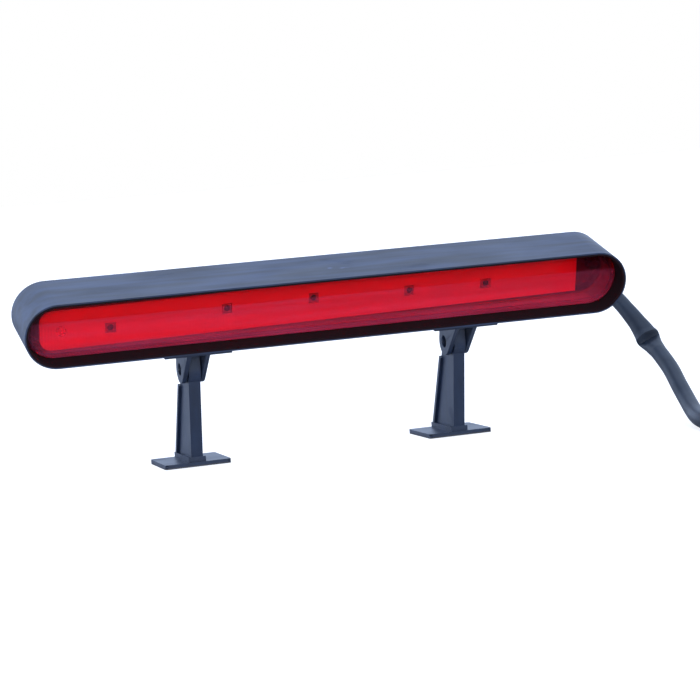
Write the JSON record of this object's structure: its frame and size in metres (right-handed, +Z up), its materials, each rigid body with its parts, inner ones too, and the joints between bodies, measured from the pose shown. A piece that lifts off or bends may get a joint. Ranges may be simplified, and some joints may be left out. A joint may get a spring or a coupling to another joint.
{
  "type": "third brake light",
  "caption": "Slim red LED third brake light: an open-front stadium hood with a recessed lens, on two hinged legs with adhesive feet, and a sleeved cable.",
  "frame": {"origin": "on the surface the feet stand on, midway along the lamp, and midway between the front of the hood and the heels of the feet", "axes": "+X along the lamp, -Y is the side the lens faces, +Z up from the feet"},
  "size_m": [0.4424, 0.1785, 0.0964],
  "materials": {
    "housing_plastic": "moulded black ABS, satin",
    "cover_plastic": "moulded black ABS, fine texture",
    "seal_rubber": "matt rubber",
    "screw_steel": "zinc plated",
    "lens_red": "clear red acrylic, polished",
    "reflector_white": "white moulded plastic",
    "board_white": "white solder mask",
    "led_body": "white package with yellow-tinted resin",
    "component_black": "black epoxy",
    "wire_red": "red PVC insulation",
    "wire_black": "black PVC insulation",
    "cable_sleeve": "black PVC sleeve, semi-matt",
    "tie_plastic": "black nylon",
    "copper": "stripped copper strands",
    "bracket_plastic": "moulded black ABS, satin",
    "pin_plastic": "black nylon",
    "foam_tape": "dark foam tape"
  },
  "bodies": {
    "lamp": {"housing": "housing_plastic", "rear_cover": "cover_plastic", "cover_seal": "seal_rubber", "cover_screws": "screw_steel", "lens": "lens_red", "lens_seal": "seal_rubber", "reflector": "reflector_white", "led_board": "board_white", "leds": "led_body", "resistors": "component_black", "rectifier_diode": "component_black", "board_screws": "screw_steel", "wire_red": "wire_red", "wire_black": "wire_black", "cable_grommet": "seal_rubber", "cable_sleeve": "cable_sleeve", "cable_coil": "cable_sleeve", "coil_tie": "tie_plastic", "wire_end_red": "wire_red", "wire_end_black": "wire_black", "wire_cores": "copper", "bracket_left": "bracket_plastic", "bracket_right": "bracket_plastic", "bracket_screws_left": "screw_steel", "bracket_screws_right": "screw_steel", "hinge_pin_left": "pin_plastic", "hinge_pin_right": "pin_plastic"},
    "leg_left": {"leg_left": "bracket_plastic", "foot_tape_left": "foam_tape"},
    "leg_right": {"leg_right": "bracket_plastic", "foot_tape_right": "foam_tape"}
  },
  "joints": [
    {"name": "leg_left_hinge", "type": "hinge", "parent": "lamp", "child": "leg_left", "pos_m": [-0.0662, 0.0011, 0.04774], "axis": [1, 0, 0], "range_deg": [-75, 75]},
    {"name": "leg_right_hinge", "type": "hinge", "parent": "lamp", "child": "leg_right", "pos_m": [0.069, 0.0011, 0.04774], "axis": [1, 0, 0], "range_deg": [-75, 75]}
  ]
}
